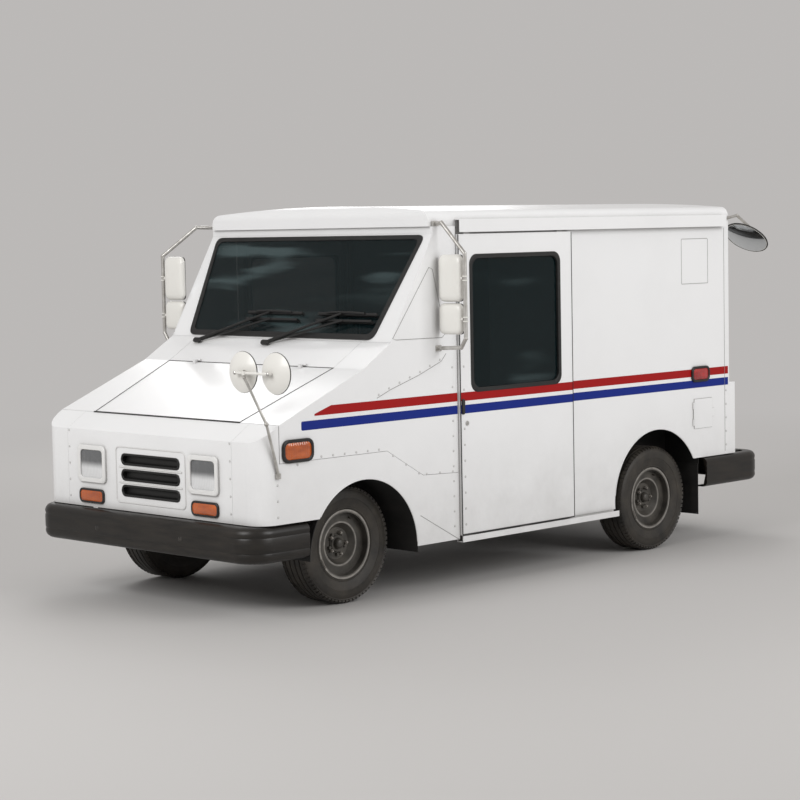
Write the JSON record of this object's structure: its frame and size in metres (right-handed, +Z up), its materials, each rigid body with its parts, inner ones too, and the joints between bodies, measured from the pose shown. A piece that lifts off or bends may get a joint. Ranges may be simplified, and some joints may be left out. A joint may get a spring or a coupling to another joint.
{
  "type": "mail delivery truck",
  "caption": "Small right-hand-drive mail van body with sliding cab doors, a rear roll-up door, a sloping bonnet, convex mirrors and a ladder frame.",
  "frame": {"origin": "on the ground, midway between the bumpers and midway across the truck", "axes": "+Y points to the rear of the truck, so its front faces -Y; +X is the truck's left side; +Z is up"},
  "size_m": [2.316, 4.458, 2.159],
  "materials": {
    "white_paint": "smooth white enamel",
    "frame_black": "satin black chassis paint",
    "bumper_black": "satin black, rubbed to a warm grey",
    "liner_black": "matt black",
    "floor_grey": "brushed tread plate",
    "interior_grey": "grained",
    "window_glass": "tinted",
    "lamp_lens": "clear, amber and red moulded lenses",
    "lamp_bezel": "black moulding",
    "mirror_shell": "cream enamel back",
    "tube_metal": "satin tube",
    "wheel_steel": "dark painted steel, worn at the edges",
    "tyre_rubber": "matt black rubber",
    "running_gear": "black with road dust",
    "engine_iron": "rough cast",
    "seat_cloth": "woven cover",
    "tray_metal": "sheet aluminium",
    "wiper_black": "matt black"
  },
  "bodies": {
    "body": {"ladder_frame": "frame_black", "seat_pedestal": "frame_black", "floor_pan": "floor_grey", "firewall": "interior_grey", "dashboard": "interior_grey", "steering_column": "interior_grey", "cowl_panel": "white_paint", "front_fascia": "white_paint", "lower_fenders": "white_paint", "cab_sides": "white_paint", "windshield_surround": "white_paint", "cargo_side_left": "white_paint", "cargo_side_right": "white_paint", "roof_panel": "white_paint", "rear_frame": "white_paint", "partition_wall": "white_paint", "door_rails": "white_paint", "rear_curtain": "white_paint", "windshield_glass": "window_glass", "wheelhouses": "liner_black", "front_bumper": "bumper_black", "rear_bumper": "bumper_black", "lamp_bezels": "lamp_bezel", "lamp_lenses": "lamp_lens", "mail_tray": "tray_metal", "mirror_arms": "tube_metal", "engine": "engine_iron", "front_suspension": "running_gear", "rear_axle": "running_gear"},
    "bonnet": {"hood": "white_paint"},
    "left_door": {"door_left": "white_paint", "door_glass_left": "window_glass"},
    "right_door": {"door_right": "white_paint", "door_glass_right": "window_glass"},
    "rear_door": {"rear_door_bar": "tray_metal"},
    "barrel": {"rear_barrel": "tray_metal"},
    "steering": {"steering_wheel": "interior_grey"},
    "rack": {"steering_rack": "tube_metal"},
    "left_knuckle": {"knuckle_left": "running_gear"},
    "right_knuckle": {"knuckle_right": "running_gear"},
    "wheel_front_left": {"rim_front_left": "wheel_steel", "tyre_front_left": "tyre_rubber"},
    "wheel_front_right": {"rim_front_right": "wheel_steel", "tyre_front_right": "tyre_rubber"},
    "wheel_rear_left": {"rim_rear_left": "wheel_steel", "tyre_rear_left": "tyre_rubber"},
    "wheel_rear_right": {"rim_rear_right": "wheel_steel", "tyre_rear_right": "tyre_rubber"},
    "left_wiper": {"wiper_left": "wiper_black"},
    "right_wiper": {"wiper_right": "wiper_black"},
    "left_mirrors": {"mirror_head_left": "mirror_shell"},
    "right_mirrors": {"mirror_head_right": "mirror_shell"},
    "cross_mirrors": {"cross_view_mirrors": "mirror_shell"},
    "rear_mirror": {"rear_view_mirror": "mirror_shell"},
    "fuel_flap": {"fuel_door": "white_paint"},
    "driver_seat": {"seat_frame": "frame_black", "seat_cushions": "seat_cloth"},
    "accelerator": {"accelerator_pedal": "interior_grey"},
    "brake": {"brake_pedal": "interior_grey"},
    "selector": {"gear_selector": "interior_grey"}
  },
  "joints": [
    {"name": "steer_left", "type": "hinge", "parent": "body", "child": "left_knuckle", "pos_m": [0.6, -1.419, 0.324], "axis": [0, 0, 1], "range_deg": [-30, 30]},
    {"name": "steer_right", "type": "hinge", "parent": "body", "child": "right_knuckle", "pos_m": [-0.6, -1.419, 0.324], "axis": [0, 0, 1], "range_deg": [-30, 30]},
    {"name": "steering_wheel_turn", "type": "hinge", "parent": "body", "child": "steering", "pos_m": [-0.43, -0.6, 1.13], "axis": [0, 0.7071, 0.7071], "range_deg": [-485, 485]},
    {"name": "rack_slide", "type": "slide", "parent": "body", "child": "rack", "axis": [1, 0, 0], "range_m": [-0.07, 0.07]},
    {"name": "spin_front_left", "type": "hinge", "parent": "left_knuckle", "child": "wheel_front_left", "pos_m": [0.6925, -1.419, 0.324], "axis": [1, 0, 0], "continuous": true},
    {"name": "spin_front_right", "type": "hinge", "parent": "right_knuckle", "child": "wheel_front_right", "pos_m": [-0.6925, -1.419, 0.324], "axis": [1, 0, 0], "continuous": true},
    {"name": "spin_rear_left", "type": "hinge", "parent": "body", "child": "wheel_rear_left", "pos_m": [0.78, 1.134, 0.324], "axis": [1, 0, 0], "continuous": true},
    {"name": "spin_rear_right", "type": "hinge", "parent": "body", "child": "wheel_rear_right", "pos_m": [-0.78, 1.134, 0.324], "axis": [1, 0, 0], "continuous": true},
    {"name": "left_door_slide", "type": "slide", "parent": "body", "child": "left_door", "axis": [0, 1, 0], "range_m": [0, 0.76]},
    {"name": "right_door_slide", "type": "slide", "parent": "body", "child": "right_door", "axis": [0, 1, 0], "range_m": [0, 0.76]},
    {"name": "rear_door_lift", "type": "slide", "parent": "body", "child": "rear_door", "axis": [0, 0, 1], "range_m": [0, 1.25], "deforming": ["rear_curtain"]},
    {"name": "barrel_turn", "type": "hinge", "parent": "body", "child": "barrel", "pos_m": [0, 1.78, 2.03], "axis": [1, 0, 0], "range_deg": [0, 1650]},
    {"name": "bonnet_hinge", "type": "hinge", "parent": "body", "child": "bonnet", "pos_m": [0, -1.402, 1.29], "axis": [-1, 0, 0], "range_deg": [0, 55]},
    {"name": "wiper_right_sweep", "type": "hinge", "parent": "body", "child": "right_wiper", "pos_m": [-0.63, -1.23541, 1.38789], "axis": [0, -0.8674, 0.4976], "range_deg": [0, 45]},
    {"name": "wiper_left_sweep", "type": "hinge", "parent": "body", "child": "left_wiper", "pos_m": [-0.03, -1.23541, 1.38789], "axis": [0, -0.8674, 0.4976], "range_deg": [0, 45]},
    {"name": "left_mirror_swivel", "type": "hinge", "parent": "body", "child": "left_mirrors", "pos_m": [1.14, -0.82, 1.7], "axis": [0, 0, 1], "range_deg": [-15, 15]},
    {"name": "right_mirror_swivel", "type": "hinge", "parent": "body", "child": "right_mirrors", "pos_m": [-1.14, -1.08, 1.7], "axis": [0, 0, 1], "range_deg": [-15, 15]},
    {"name": "cross_mirror_swivel", "type": "hinge", "parent": "body", "child": "cross_mirrors", "pos_m": [0.85, -2.175, 1.304], "axis": [0, 0, 1], "range_deg": [-15, 15]},
    {"name": "rear_mirror_tilt", "type": "hinge", "parent": "body", "child": "rear_mirror", "pos_m": [0.93, 2.09872, 1.96841], "axis": [1, 0, 0], "range_deg": [-10, 10]},
    {"name": "fuel_flap_hinge", "type": "hinge", "parent": "body", "child": "fuel_flap", "pos_m": [0.917, 1.512, 0.821], "axis": [0, 0, -1], "range_deg": [0, 100]},
    {"name": "seat_slide", "type": "slide", "parent": "body", "child": "driver_seat", "axis": [0, 1, 0], "range_m": [-0.08, 0.08]},
    {"name": "accelerator_press", "type": "hinge", "parent": "body", "child": "accelerator", "pos_m": [-0.62, -0.97, 0.83], "axis": [-1, 0, 0], "range_deg": [0, 15], "stiffness_Nm_per_rad": 2, "springref_deg": -17.19},
    {"name": "brake_press", "type": "hinge", "parent": "body", "child": "brake", "pos_m": [-0.505, -0.97, 0.83], "axis": [-1, 0, 0], "range_deg": [0, 15], "stiffness_Nm_per_rad": 4, "springref_deg": -17.19},
    {"name": "selector_move", "type": "hinge", "parent": "body", "child": "selector", "pos_m": [-0.11, -0.71, 0.74], "axis": [1, 0, 0], "range_deg": [-15, 15]}
  ],
  "couplings": [
    {"joint": "steer_right", "follows": "steer_left", "ratio": 1},
    {"joint": "steering_wheel_turn", "follows": "steer_left", "ratio": 16},
    {"joint": "rack_slide", "follows": "steer_left", "m_per_rad": -0.13},
    {"joint": "barrel_turn", "follows": "rear_door_lift", "rad_per_m": 22},
    {"joint": "wiper_left_sweep", "follows": "wiper_right_sweep", "ratio": 1}
  ]
}
